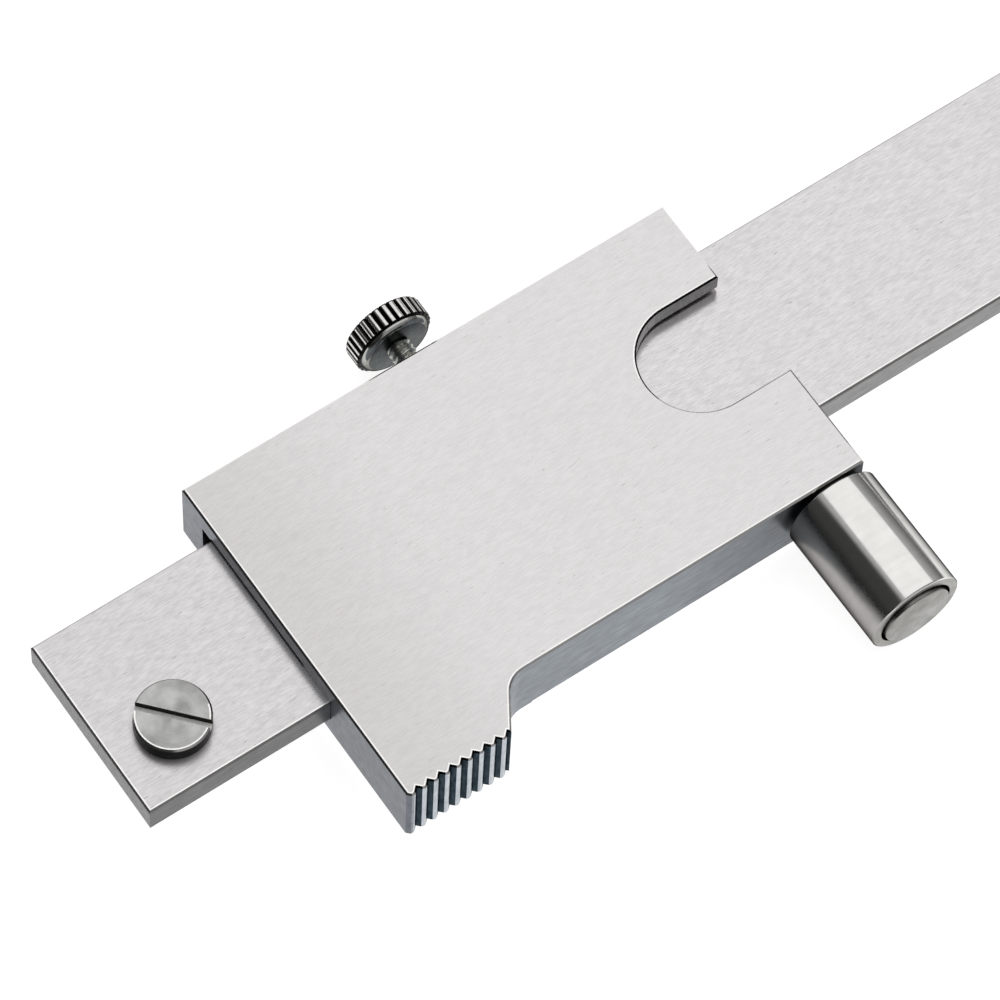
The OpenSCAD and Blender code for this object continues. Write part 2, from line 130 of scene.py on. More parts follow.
# Room: its brightness rises from the horizon to overhead, and the screen cuts it on one side
room = bpy.data.worlds.new("studio_room")
room.use_nodes = True
scene.world = room
tree = room.node_tree
tree.nodes.clear()
way = add(tree, "ShaderNodeTexCoord").outputs["Generated"]
height = add(tree, "ShaderNodeSeparateXYZ", {0: way}).outputs["Z"]
level = ramp(tree, height, room_foot, room_rise, room_low, room_high, smooth=True)
side = add(tree, "ShaderNodeVectorMath", {0: way, 1: (-1, 0, 0)}, operation="DOT_PRODUCT").outputs["Value"]
screen = ramp(tree, side, screen_start, screen_end, 1, screen_share, smooth=True)
level = add(tree, "ShaderNodeMath", {0: level, 1: screen}, operation="MULTIPLY")
light = add(tree, "ShaderNodeBackground", {"Strength": level.outputs[0]})
add(tree, "ShaderNodeOutputWorld", {"Surface": light.outputs[0]})

soft_box = bpy.data.objects.new("soft_box", bpy.data.lights.new("soft_box", "AREA"))
soft_box.data.shape = "RECTANGLE"
soft_box.data.size, soft_box.data.size_y = soft_box_size
soft_box.data.energy = soft_box_watts
soft_box.location = soft_box_place
scene.collection.objects.link(soft_box)


# Beam: a flat bar of stainless steel, 16 x 2.8 mm, ground on its two faces with the grain along
# its length, its narrow edges left milled and painted darker as shade, and every corner broken
# by a small bevel.
weld_gap = 0.002 * MM
flat_angle, sharp_angle = radians(1), radians(25)
rim_width = 0.11 * MM
beam_low, beam_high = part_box("beam")
# Parts of a normal: the Z of a face that counts as flat, as level or as upright, and the Y and X
# below which a wall looks to the lower side or to the stop end
dead_level, nearly_level, nearly_upright = 0.999, 0.99, 0.05
low_side_y, stop_end_x = -0.15, -0.5
# Pattern of the metals, in millimetres along X, Y and Z, with the levels at which it takes hold
cloud_sizes, cloud_share, shade_range = (1.3, 0.5, 0.7), 0.35, (0.40, 0.60)
speck_sizes, speck_range = (0.9, 0.16, 0.4), (0.72, 0.84)
rough_range, rough_swing = (0.3, 0.7), 0.2


def merged(node):
    """A copy of a CAD node's mesh with its loose triangles joined and each flat area one face."""
    form = bmesh.new()
    form.from_mesh(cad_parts[node].data)
    bmesh.ops.remove_doubles(form, verts=form.verts, dist=weld_gap)
    bmesh.ops.dissolve_limit(form, angle_limit=flat_angle, verts=form.verts, edges=form.edges)
    form.normal_update()
    return form


def level_faces(form, height):
    """The faces that lie flat at this height."""
    return [face for face in form.faces
            if abs(face.normal.z) > dead_level and abs(face.verts[0].co.z - height) < weld_gap]


def by_slope(form, flat=0, upright=1, bevelled=2):
    """Gives level faces, upright faces and the bevels between them their own materials."""
    for face in form.faces:
        lying = abs(face.normal.z)
        if lying > nearly_level:
            face.material_index = flat
        elif lying < nearly_upright:
            face.material_index = upright
        else:
            face.material_index = bevelled


def burnish(form, height, plain, bright):
    """Sets off the outermost strip of a level face and paints it as a bright highlight on the stop
    end and the lower side."""
    strip = bmesh.ops.inset_region(form, faces=level_faces(form, height), thickness=rim_width, depth=0,
                                   use_boundary=True, use_even_offset=True)["faces"]
    form.normal_update()
    for face in strip:
        beside = [other.normal for edge in face.edges for other in edge.link_faces
                  if abs(other.normal.z) < nearly_level]
        # The strip gets the painted highlight where it borders the stop end or the lower side
        highlighted_rim = any(normal.y < low_side_y or normal.x < stop_end_x for normal in beside)
        face.material_index = bright if highlighted_rim else plain


def made(form, name, *materials):
    """Makes a finished bmesh an object, smooth except across its sharp edges."""
    form.normal_update()
    for face in form.faces:
        face.smooth = True
    for edge in form.edges:
        edge.smooth = edge.calc_face_angle(0) < sharp_angle
    mesh = bpy.data.meshes.new(name)
    form.to_mesh(mesh)
    form.free()
    for material in materials:
        mesh.materials.append(material)
    piece = bpy.data.objects.new(name, mesh)
    scene.collection.objects.link(piece)
    return piece


def belongs(piece, body, slot, *nodes):
    """Says which body a piece rides on and the CAD nodes that it stands for; slot, its material slot, is not
    used.
    """
    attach(piece, body)
    if nodes:
        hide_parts(*nodes)


def fresh_material(name):
    """A new material with its node tree and its shader."""
    material = bpy.data.materials.new(name)
    material.use_nodes = True
    return material, material.node_tree, material.node_tree.nodes["Principled BSDF"]


def blend(tree, share, first, second, **settings):
    """Mixes two colours by a share; each of the three may be a value or an output."""
    mixed = add(tree, "ShaderNodeMix", {0: share, 6: first, 7: second}, data_type="RGBA", **settings)
    return mixed.outputs[2]


def noise(tree, place, sizes, **levels):
    """Noise whose patches have these sizes along X, Y and Z, in millimetres."""
    spread = add(tree, "ShaderNodeMapping", {"Vector": place, "Scale": [1 / (s * MM) for s in sizes]})
    patches = add(tree, "ShaderNodeTexNoise", {"Vector": spread.outputs[0], "Scale": 1, **levels})
    return patches.outputs["Fac"]


def metal(tree, shader, tint, rough, height, relief, edge, drawn, around, rotation=0):
    """Makes a shader metal with this colour, roughness and relief, whose depth is in millimetres.
    edge is what it mirrors at a glancing angle, where that isn't to be white. drawn says how far
    its mirror image is drawn out round the axis named by around, and rotation turns that way, as
    a share of a full turn."""
    tree.links.new(tint, shader.inputs["Base Color"])
    tree.links.new(rough, shader.inputs["Roughness"])
    bump = add(tree, "ShaderNodeBump", {"Height": height, "Distance": relief * MM, "Strength": 1})
    tree.links.new(bump.outputs[0], shader.inputs["Normal"])
    shader.inputs["Metallic"].default_value = 1
    if edge:
        shader.inputs["Specular Tint"].default_value = colour(edge)
    if drawn:
        shader.inputs["Anisotropic"].default_value = drawn
        shader.inputs["Anisotropic Rotation"].default_value = rotation
        tangent = add(tree, "ShaderNodeTangent", direction_type="RADIAL", axis=around)
        tree.links.new(tangent.outputs[0], shader.inputs["Tangent"])


def steel(name, pale, deep, roughness, grain, relief, speck=None, drawn=0, end_shade_and_wear=None, edge=None):
    """Metal with grain: pale and deep are its colours, grain the length, height and depth of a
    streak and relief its depth, in millimetres; speck is the colour of short dark marks, and
    drawn says how much more sharply it mirrors along the grain, which runs along X. The tuple
    given for one end holds a painted shade, a tint multiplied into that end, the places along X
    where it is full and where it has faded away, in millimetres, and how much rougher that end
    is from handling. edge is what the metal mirrors at a glancing angle, where that isn't to be
    white."""
    material, tree, shader = fresh_material(name)
    place = add(tree, "ShaderNodeTexCoord").outputs["Object"]
    streaks = noise(tree, place, grain, Detail=3, Roughness=0.6)
    cloud = noise(tree, place, cloud_sizes, Detail=3, Roughness=0.65)
    mixed = add(tree, "ShaderNodeMix", {0: cloud_share, 2: streaks, 3: cloud}).outputs[0]
    tint = blend(tree, ramp(tree, mixed, *shade_range), colour(deep), colour(pale))
    if end_shade_and_wear:
        # The tint given for that end is painted shade; the extra roughness there is wear from handling.
        painted_end_shade, full, faded, rougher = end_shade_and_wear
        along = add(tree, "ShaderNodeSeparateXYZ", {0: place}).outputs["X"]
        end_shade_and_wear_share = ramp(tree, along, full * MM, faded * MM, 1, 0, smooth=True)
        tint = blend(tree, end_shade_and_wear_share, tint, colour(painted_end_shade), blend_type="MULTIPLY")
    if speck:
        marks = ramp(tree, noise(tree, place, speck_sizes, Detail=1), *speck_range)
        tint = blend(tree, marks, tint, colour(speck))
    rough = ramp(tree, mixed, *rough_range, roughness * (1 + rough_swing), roughness * (1 - rough_swing))
    if end_shade_and_wear:
        rough = add(tree, "ShaderNodeMath", {0: end_shade_and_wear_share, 1: rougher, 2: rough},
                    operation="MULTIPLY_ADD").outputs[0]
    metal(tree, shader, tint, rough, streaks, relief, edge, drawn, "X")
    return material


# Ground stainless steel: a warm pale grey that looks almost matt, with fine streaks along the
# beam; the real grain is finer than a pixel, so it is drawn 0.12 mm wide. It mirrors more
# sharply along the grain than across it.
ground_beam = steel("ground_stainless_beam", "#DDDBDC", "#CCC9CA", 0.17, (0.9, 0.12, 0.12), 0.0004,
                    speck="#A5A19F", drawn=0.6, end_shade_and_wear=("#FFFFFF", -120, -108, 0.13))
# Milled edges: the same steel left as the cutter leaves it, painted a darker grey as shade, and
# darker still towards the stop end
milled_beam_shade = steel("milled_beam_edge_painted_shade", "#8A8989", "#787777", 0.34, (3.0, 0.14, 0.14), 0.002,
                    end_shade_and_wear=("#C4C6C8", -122, -84, 0))
# Broken corners: bare bright steel, smooth enough to mirror the dark side of the room
broken_beam = steel("broken_beam_edge_steel", "#ABAAA9", "#9E9C9B", 0.30, (1.2, 0.2, 0.2), 0.0005)
# Rim strip: the same ground face painted nearly white as a highlight
rim_highlight_steel = steel("stainless_rim_painted_highlight", "#FBFAF9", "#F1F0EF", 0.28, (0.9, 0.12, 0.12), 0.0006)

form = merged("beam")
by_slope(form)
burnish(form, beam_high.z, 0, 3)
beam_bar = made(form, "beam_bar", ground_beam, milled_beam_shade, broken_beam, rim_highlight_steel)
belongs(beam_bar, "beam", "satin_stainless", "beam")


# Main scale: lines and numbers engraved on the front of the beam and filled with black. They
# give the distance from the roller to the scribing edge, so they count down towards the blade.
line_proud, line_sunk, line_width = 0.005 * MM, 0.01 * MM, 0.14 * MM
tall_line, middle_line, short_line, line_foot_y = 4.6 * MM, 3.8 * MM, 3.0 * MM, 2.98 * MM
scale_end, number_step, half_step, number_size, number_y = 205, 10, 5, 2.0 * MM, 8.1 * MM
scale_front = beam_low.z
# Where the zero of the vernier stands at rest
zero_rest_x = -84.5 * MM


def paint(name, shade, bloom):
    """Matt paint with a faint cloudy bloom."""
    material, tree, shader = fresh_material(name)
    place = add(tree, "ShaderNodeTexCoord").outputs["Object"]
    cloud = add(tree, "ShaderNodeTexNoise", {"Vector": place, "Scale": 1 / (0.8 * MM),
                                             "Detail": 2}).outputs["Fac"]
    tree.links.new(blend(tree, cloud, colour(shade), colour(bloom)), shader.inputs["Base Color"])
    shader.inputs["Roughness"].default_value = 0.6
    return material


# Black filler of the engraving: a matt stove paint
black_filler = paint("black_engraving_filler", "#161616", "#242322")


def line(form, x, low_y, length, z, lean=0):
    """Adds one engraved line: a thin bar that starts at low_y on a face that looks down at z;
    lean is the angle at which the face rises towards +Y."""
    shape = Matrix.Diagonal((line_width, length, line_proud + line_sunk, 1))
    place = (Matrix.Translation((x, low_y, z)) @ Matrix.Rotation(lean, 4, "X")
             @ Matrix.Translation((0, length / 2, (line_sunk - line_proud) / 2)))
    bmesh.ops.create_cube(form, size=1, matrix=place @ shape)


def number(form, text, x, y, z, size):
    """Adds a number that reads from below, its upper side towards +Y."""
    writing = bpy.data.curves.new("number", "FONT")
    writing.body, writing.size, writing.align_x = text, size, "CENTER"
    writing.extrude = (line_proud + line_sunk) / 2
    holder = bpy.data.objects.new("number", writing)
    mesh = bpy.data.meshes.new_from_object(holder)
    mesh.transform(Matrix.Translation((x, y, z + (line_sunk - line_proud) / 2))
                   @ Matrix.Rotation(pi, 4, "Y"))
    form.from_mesh(mesh)
    bpy.data.objects.remove(holder)
    bpy.data.curves.remove(writing)
    bpy.data.meshes.remove(mesh)


edge_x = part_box("scriber_blade")[0].x
guide_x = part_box("roller_sleeve")[1].x
form = bmesh.new()
for mark in range(scale_end + 1):
    x = zero_rest_x + (edge_x - guide_x) - mark * MM
    numbered = mark % number_step == 0
    tall = tall_line if numbered else middle_line if mark % half_step == 0 else short_line
    line(form, x, line_foot_y, tall, scale_front)
    if numbered:
        number(form, str(mark), x, number_y, scale_front, number_size)
bmesh.ops.recalc_face_normals(form, faces=form.faces)
scale = made(form, "main_scale_engraving", black_filler)
belongs(scale, "beam", "dark_steel")


# Stop screw: a slotted cheese-head screw turned from stainless steel, screwed into the end of
# the beam so that the slider can't run off. Its wall is painted dark as shade.
stop_low, stop_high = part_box("stop_screw")
stop_axis = (stop_low + stop_high) / 2
# Share of the head's radius within which an upright face counts as a wall of the slot
slot_share = 0.7
# Pattern of turned metal: the size of its clouds in millimetres, their share in it, and the
# levels at which it takes hold
turned_cloud, turned_cloud_share, turned_range = 1.5, 0.7, (0.35, 0.65)


def turned_steel(name, pale, deep, roughness, axis, around, ring, relief, edge=None, drawn=0):
    """Turned metal whose fine rings run round an axis; around is that axis's letter and ring
    the distance between rings in millimetres. edge is what the metal mirrors at a glancing
    angle, and drawn how much more sharply it mirrors along the rings."""
    material, tree, shader = fresh_material(name)
    place = add(tree, "ShaderNodeTexCoord").outputs["Object"]
    flat = (1, 1, 0) if around == "Z" else (1, 0, 1)
    centred = add(tree, "ShaderNodeVectorMath", {0: place, 1: axis}, operation="SUBTRACT").outputs[0]
    across = add(tree, "ShaderNodeVectorMath", {0: centred, 1: flat}, operation="MULTIPLY").outputs[0]
    reach = add(tree, "ShaderNodeVectorMath", {0: across}, operation="LENGTH").outputs["Value"]
    along = add(tree, "ShaderNodeVectorMath", {0: centred, 1: [1 - f for f in flat]},
                operation="DOT_PRODUCT").outputs["Value"]
    rings = add(tree, "ShaderNodeMath", {0: reach, 1: along}, operation="ADD")
    rings = add(tree, "ShaderNodeTexNoise", {"W": rings.outputs[0], "Scale": 1 / (ring * MM),
                                             "Detail": 2}, noise_dimensions="1D").outputs["Fac"]
    cloud = add(tree, "ShaderNodeTexNoise", {"Vector": place, "Scale": 1 / (turned_cloud * MM),
                                             "Detail": 3}).outputs["Fac"]
    mixed = add(tree, "ShaderNodeMix", {0: turned_cloud_share, 2: rings, 3: cloud}).outputs[0]
    tint = blend(tree, ramp(tree, mixed, *turned_range), colour(deep), colour(pale))
    rough = ramp(tree, cloud, *rough_range, roughness * (1 + rough_swing), roughness * (1 - rough_swing))
    metal(tree, shader, tint, rough, mixed, relief, edge, drawn, around, rotation=0.25)
    return material


# Turned face of the head: rings finer than a pixel, drawn 0.1 mm apart, a softer grey whose
# light and dark sectors lie across each other like the wings of a butterfly
stop_face = turned_steel("turned_screw_face", "#CDCDCB", "#BBBBB8", 0.40, stop_axis, "Z", 0.1, 0.0004,
                         drawn=0.95)
# Wall of the head: steel painted dark as shade, which stays dark where it is seen at a slant
painted_dark_shade = steel("steel_dark_painted_shade", "#2C2B2A", "#1F1E1E", 0.35, (0.6, 0.3, 0.3), 0.001, edge="#D0D0D0")
# Floor and near wall of the slot: rough from the saw, and painted white as light, so that they look
# pale; the far wall takes the painted shade and draws the slot as a black line
painted_light_slot = steel("sawn_slot_painted_light", "#FFFFFC", "#EFEEEB", 0.6, (0.3, 0.3, 0.3), 0.003)
painted_light_slot.node_tree.nodes["Principled BSDF"].inputs["Metallic"].default_value = 0
# Corners: bare bright steel, smoother and darker to the eye
broken_edge = steel("broken_edge_steel", "#D8D7D6", "#CBC9C8", 0.16, (1.2, 0.2, 0.2), 0.0005)


def dress_screw(node, name, *materials):
    """A cheese-head screw: face, wall in painted shade, broken corner, sawn slot in painted light
    with its far wall in painted shade, and outer rim in painted highlight.
    """
    low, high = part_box(node)
    axis, slot_reach = (low + high) / 2, slot_share * (high.x - low.x) / 2
    flat, wall, slot_light_index, highlight_rim_index = 0, 1, 3, 4
    form = merged(node)
    by_slope(form)
    burnish(form, high.z, flat, highlight_rim_index)
    for face in form.faces:
        middle = face.calc_center_median()
        in_slot = hypot(middle.x - axis.x, middle.y - axis.y) < slot_reach
        # Floor and near wall of the slot take the painted light; its far wall keeps the painted shade
        if face.material_index == flat and middle.z < high.z - weld_gap:
            face.material_index = slot_light_index
        elif face.material_index == wall and in_slot and face.normal.y > 0:
            face.material_index = slot_light_index
        elif face.material_index == highlight_rim_index and in_slot:
            face.material_index = flat
    return made(form, name, *materials)


stop_screw = dress_screw("stop_screw", "stop_screw_head", stop_face, painted_dark_shade, broken_edge,
                         painted_light_slot, rim_highlight_steel)
belongs(stop_screw, "beam", "turned_stainless", "stop_screw")


# Scriber blade: a bar of hardened tool steel in a seat across the end of the beam, ground all
# over and thinned to a point from both faces.
hard_steel = steel("hardened_ground_steel", "#BFC0C3", "#ADAEB2", 0.28, (0.16, 1.8, 0.16), 0.0015)
blade = made(merged("scriber_blade"), "scriber_blade_ground", hard_steel)
belongs(blade, "beam", "hardened_blade", "scriber_blade")

# Carbide tip: a small plate of sintered hard metal, dark grey and finely ground, brazed into the
# corner of the blade. A thread of the copper braze shows along its upper and inner sides.
carbide = steel("ground_carbide", "#7C7E82", "#6B6D71", 0.22, (0.1, 0.7, 0.1), 0.0008)
copper_braze = steel("copper_braze", "#C98C5E", "#A56A41", 0.3, (0.3, 0.3, 0.3), 0.004)
braze_width = 0.16 * MM
tip_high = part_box("carbide_tip")[1]
form = merged("carbide_tip")
for corner, away in ((tip_high.y - braze_width, (0, 1, 0)), (tip_high.x - braze_width, (1, 0, 0))):
    bmesh.ops.bisect_plane(form, geom=[*form.verts, *form.edges, *form.faces], dist=weld_gap / 2,
                           plane_co=Vector(away) * corner, plane_no=away)
for face in form.faces:
    middle = face.calc_center_median()
    if middle.y > tip_high.y - braze_width or middle.x > tip_high.x - braze_width:
        face.material_index = 1
tip = made(form, "carbide_tip_ground", carbide, copper_braze)
belongs(tip, "beam", "carbide", "carbide_tip")

# Clamp screw: a larger slotted cheese-head screw through the beam, which holds the blade
clamp_low, clamp_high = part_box("scriber_screw")
clamp_face = turned_steel("turned_clamp_face", "#CDCDCB", "#BBBBB8", 0.40, (clamp_low + clamp_high) / 2,
                          "Z", 0.1, 0.0004, drawn=0.95)
clamp = dress_screw("scriber_screw", "clamp_screw_head", clamp_face, painted_dark_shade, broken_edge,
                    painted_light_slot, rim_highlight_steel)
belongs(clamp, "beam", "turned_stainless", "scriber_screw")


# Slider: milled from one block, with a channel for the beam, a serrated thumb rest and a
# round-ended notch in its back plate; ground on both faces, its sides left milled.
slider_low, slider_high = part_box("slider_body")
corner_break, crest_break = 0.14 * MM, 0.09 * MM
# The thumb rest: what lies this close to the lowest edge, past the corner of the block
groove_depth, rest_margin, corner_x = 0.36 * MM, 0.02 * MM, 0.5 * MM
rest_y = slider_low.y + groove_depth + rest_margin
# The notch: what lies in this box
notch_reach, notch_half, notch_in_y = 9.9 * MM, 4.8 * MM, 4.275 * MM
notch_low = Vector((slider_high.x - notch_reach, notch_in_y - notch_half, 0))
notch_high = Vector((slider_high.x, notch_in_y + notch_half, 0))
# Parts of a normal that tell the walls and bevels of the rest and the notch from each other
facing_most, facing_down, facing_aside, facing_top = 0.5, -0.1, 0.35, 0.2
# Ground faces: as on the beam, but finished finer, and painted a little darker towards the stop end as shade
ground_slider = steel("ground_stainless_slider", "#DEDCDC", "#D9D7D7", 0.28, (0.8, 0.12, 0.12), 0.0002,
                      speck="#BBB8B6", drawn=0.6, end_shade_and_wear=("#F2F1F1", -116, -101, 0))
# Milled sides: a cooler grey than the ground faces, painted darker as shade, and darkest beside the roller
milled_side_shade = steel("milled_side_painted_shade", "#888F96", "#767B81", 0.34, (3.0, 0.14, 0.14), 0.002,
                     end_shade_and_wear=("#AEB0B3", -76, -94, 0))
# Milled end: the side across the beam, painted darker still as shade
milled_end_shade = steel("milled_end_painted_shade", "#666B73", "#565B63", 0.34, (0.14, 3.0, 0.14), 0.002)
# Walls of the notch: a neutral grey, painted darker than the ground faces as shade, with a black
# painted shade on the edge that looks to the roller
notch_wall_shade = steel("notch_wall_painted_shade", "#9A9A9A", "#838384", 0.34, (0.14, 0.14, 1.0), 0.002)
# Black bevels: painted shade on the bevels over the grooves of the rest and on the notch's bevels that don't
# look towards +Y
black_bevel_shade = steel("black_bevel_painted_shade", "#1E1E1F", "#101011", 0.4, (0.3, 0.3, 0.3), 0.001)
# Serrations: grooves planed into the rest and painted dark as shade, also where they are seen at a
# slant; crests worn bright by the thumb
groove_shade_steel = steel("planed_groove_painted_shade", "#4A5359", "#363D42", 0.34, (0.2, 0.2, 1.2), 0.002,
                     edge="#A6AAAD")
crest_steel = steel("worn_crest_steel", "#BFC5CB", "#AAB1B7", 0.3, (0.14, 0.14, 1.4), 0.001)

form = merged("slider_body")
crests = [edge for edge in form.edges if len(edge.link_faces) == 2
          and max(v.co.y for v in edge.verts) < slider_low.y + weld_gap
          and abs(edge.verts[0].co.x - edge.verts[1].co.x) < weld_gap
          and edge.verts[0].co.x > slider_low.x + corner_x]
bmesh.ops.bevel(form, geom=crests, affect="EDGES", offset=crest_break, segments=1, profile=0.5,
                material=-1, clamp_overlap=False)
form.normal_update()
for height in (slider_high.z, slider_low.z):
    lying = set(level_faces(form, height))
    raw = [edge for edge in form.edges if len(edge.link_faces) == 2
           and (edge.link_faces[0] in lying) != (edge.link_faces[1] in lying)
           and min(abs(face.normal.z) for face in edge.link_faces) < nearly_upright
           and (height == slider_high.z or max(v.co.y for v in edge.verts) < rest_y)]
    bmesh.ops.bevel(form, geom=raw, affect="EDGES", offset=corner_break, segments=1, profile=0.5,
                    material=-1, clamp_overlap=False)
    form.normal_update()
by_slope(form)
wall, bevelled, highlight_rim_index, groove, crest, cross_side, notch_side, shaded_bevel = 1, 2, 3, 4, 5, 6, 7, 8
for face in form.faces:
    middle, facing = face.calc_center_median(), face.normal
    in_rest = middle.y < rest_y and facing.y < facing_down and middle.x > slider_low.x + corner_x
    in_notch = (notch_low.x < middle.x < slider_high.x - corner_break and middle.z > beam_high.z
                and notch_low.y < middle.y < notch_high.y
                and (facing.x > facing_most or abs(facing.y) > facing_most))
    if face.material_index == wall:
        if in_rest:
            face.material_index = groove if abs(facing.x) > facing_most else crest
        elif in_notch:
            face.material_index = notch_side
        elif facing.x < -facing_most:
            face.material_index = cross_side
    elif face.material_index == bevelled:
        # bevels over the grooves and most bevels of the notch take the black painted shade
        if (in_rest and abs(facing.x) > facing_aside) or (in_notch and facing.y < facing_top):
            face.material_index = shaded_bevel
        # the other bevels of the notch take the painted rim highlight
        elif in_notch:
            face.material_index = highlight_rim_index
burnish(form, slider_high.z, 0, highlight_rim_index)
slider = made(form, "slider_block", ground_slider, milled_side_shade, broken_edge, rim_highlight_steel,
              groove_shade_steel, crest_steel, milled_end_shade, notch_wall_shade, black_bevel_shade)
belongs(slider, "slider", "satin_stainless", "slider_body")


# Vernier plate: a small steel plate screwed into the window on the front of the slider, thinned
# to its reading edge, with ten divisions over nineteen millimetres of the main scale.
vernier_low, vernier_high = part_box("vernier_plate")
vernier_slope, vernier_edge = 3.2 * MM, 0.25 * MM
vernier_marks, vernier_step = 10, 1.9 * MM
tall_share, short_share, end_share = 0.9, 0.6, 0.04
vernier_number_size, vernier_number_gap = 1.5 * MM, 1.9 * MM
form = merged("vernier_plate")
by_slope(form, bevelled=0)
vernier = made(form, "vernier_plate_ground", ground_slider, milled_side_shade)
belongs(vernier, "slider", "satin_stainless", "vernier_plate")

# Its scale runs up the slope that leads to the reading edge
slope_rise = vernier_high.z - vernier_low.z - vernier_edge
lean, face_l = atan2(slope_rise, vernier_slope), hypot(slope_rise, vernier_slope)
form = bmesh.new()
for mark in range(vernier_marks + 1):
    x = zero_rest_x - mark * vernier_step
    numbered = mark % half_step == 0
    share = tall_share if numbered else short_share
    line(form, x, vernier_high.y - share * vernier_slope, (share - end_share) * face_l,
         vernier_low.z + slope_rise * (1 - share), lean)
    if numbered:
        number(form, str(mark), x, vernier_high.y - vernier_slope - vernier_number_gap,
               vernier_low.z, vernier_number_size)
bmesh.ops.recalc_face_normals(form, faces=form.faces)
vernier_scale = made(form, "vernier_engraving", black_filler)
belongs(vernier_scale, "slider", "dark_steel")

# Its two screws: turned, slotted and flush with the plate, their slots painted dark as shade
vernier_screw_steel = steel("turned_small_screw_steel", "#B9B9B6", "#A3A3A0", 0.26, (0.3, 0.3, 0.3), 0.001)
form = merged("vernier_screws")
by_slope(form, upright=0)
for face in form.faces:
    sunk = face.calc_center_median().z > vernier_low.z + weld_gap
    if sunk and face.normal.z < -nearly_level:
        face.material_index = 1
vernier_screws = made(form, "vernier_plate_screws", vernier_screw_steel, painted_dark_shade, broken_edge)
belongs(vernier_screws, "slider", "turned_stainless", "vernier_screws")


# Gib: a strip of rolled bronze between the beam and the slider, held lengthwise by two blackened
# set screws, and a bronze pad on the tip of the lock screw that presses on it. The washer of the
# roller is blackened too. All four are shown as they are.
rolled_bronze = steel("rolled_bronze", "#C9A66B", "#AE8850", 0.3, (1.6, 0.11, 0.11), 0.001)
blackened_steel = steel("blackened_steel", "#3B3B3C", "#2A2A2B", 0.4, (0.3, 0.3, 0.3), 0.002)
for node, finish in (("gib_strip", rolled_bronze), ("lock_pad", rolled_bronze),
                     ("gib_screws", blackened_steel), ("roller_washer", blackened_steel)):
    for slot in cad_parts[node].material_slots:
        slot.material = finish


# Lock screw: turned from stainless steel, with a straight-knurled head and a fine thread that
# runs into the upper side of the slider. The face under the head is painted dark as shade.
lock_low, lock_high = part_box("lock_screw")
lock_x, lock_z = (lock_low.x + lock_high.x) / 2, (lock_low.z + lock_high.z) / 2
lock_head_l = 2.2 * MM
# Y of a normal from which a face counts as the end of a turned piece rather than its side
mostly_end = 0.9
# The last of these is how deep the tops of the ridges reach that the painted shade leaves bright
knurl_count, knurl_depth, knurl_steps, knurl_unshaded_depth = 30, 0.3 * MM, 12, 0.035 * MM
end_bevel, head_r, shoulder_r, face_r = 0.16 * MM, 3.35 * MM, 3.03 * MM, 2.6 * MM
shoulder_l, shoulder_steps = 0.40 * MM, 4
ridge_start, ridge_bevel_l, ridge_bevel_r = 0.52 * MM, 0.06 * MM, 0.1 * MM
stem_r, stem_bevel, stem_overlap = 1.22 * MM, 0.2 * MM, 0.1 * MM
stem_sunk, stem_proud = 1.5 * MM, 0.22 * MM
thread_r, thread_root_r, thread_pitch, thread_sunk = 1.0 * MM, 0.8 * MM, 0.45 * MM, 0.02 * MM
# Foot and crest of a thread, as shares of the pitch, and its steps in one turn
thread_foot, thread_crest, thread_steps = (0.02, 0.98), (0.42, 0.58), 36
head_y = lock_high.y - lock_head_l


def turned(axis_x, axis_z, outline, steps=96):
    """Spins an outline of radius and Y pairs once round a Y axis."""
    form = bmesh.new()
    points = [form.verts.new((axis_x, y, axis_z + r)) for r, y in outline]
    edges = [form.edges.new(pair) for pair in zip(points, points[1:] + points[:1])]
    bmesh.ops.spin(form, geom=points + edges, cent=(axis_x, 0, axis_z), axis=(0, 1, 0), dvec=(0, 0, 0),
                   angle=2 * pi, steps=steps, use_merge=True, use_duplicate=False)
    bmesh.ops.remove_doubles(form, verts=form.verts, dist=weld_gap)
    bmesh.ops.recalc_face_normals(form, faces=form.faces)
    return form


def off_axis(face, axis_x, axis_z):
    """How far the middle of a face lies from a Y axis."""
    middle = face.calc_center_median()
    return hypot(middle.x - axis_x, middle.z - axis_z)


def ridge_radius(angle):
    """Radius of the knurl: round ridges with sharp grooves between them."""
    share = (angle / (2 * pi) * knurl_count) % 1 * 2 - 1
    return head_r - knurl_depth * (1 - sqrt(max(0, 1 - share * share)))


form = bmesh.new()
ring = bmesh.ops.create_circle(form, radius=face_r, segments=knurl_count * knurl_steps,
                               matrix=Matrix.Translation((lock_x, head_y, lock_z))
                               @ Matrix.Rotation(radians(-90), 4, "X"))["verts"]
swell = shoulder_r - face_r
rounding = [step * pi / 2 / shoulder_steps for step in range(shoulder_steps + 1)]
rows = [(shoulder_l * (1 - cos(angle)), face_r + swell * sin(angle)) for angle in rounding]
rows += [(ridge_start - ridge_bevel_l, head_r - ridge_bevel_r), (ridge_start, head_r),
         (lock_head_l - end_bevel, head_r), (lock_head_l, head_r - end_bevel)]
for up, reach in rows:
    if up:
        last_ring = set(ring)
        rim = [edge for edge in form.edges if last_ring.issuperset(edge.verts)]
        ring = [item for item in bmesh.ops.extrude_edge_only(form, edges=rim)["geom"]
                if isinstance(item, bmesh.types.BMVert)]
    for vert in ring:
        arm = Vector((vert.co.x - lock_x, 0, vert.co.z - lock_z)).normalized()
        reached = min(ridge_radius(atan2(arm.z, arm.x)), reach)
        vert.co = Vector((lock_x, head_y + up, lock_z)) + arm * reached
bmesh.ops.holes_fill(form, edges=form.edges)
bmesh.ops.recalc_face_normals(form, faces=form.faces)
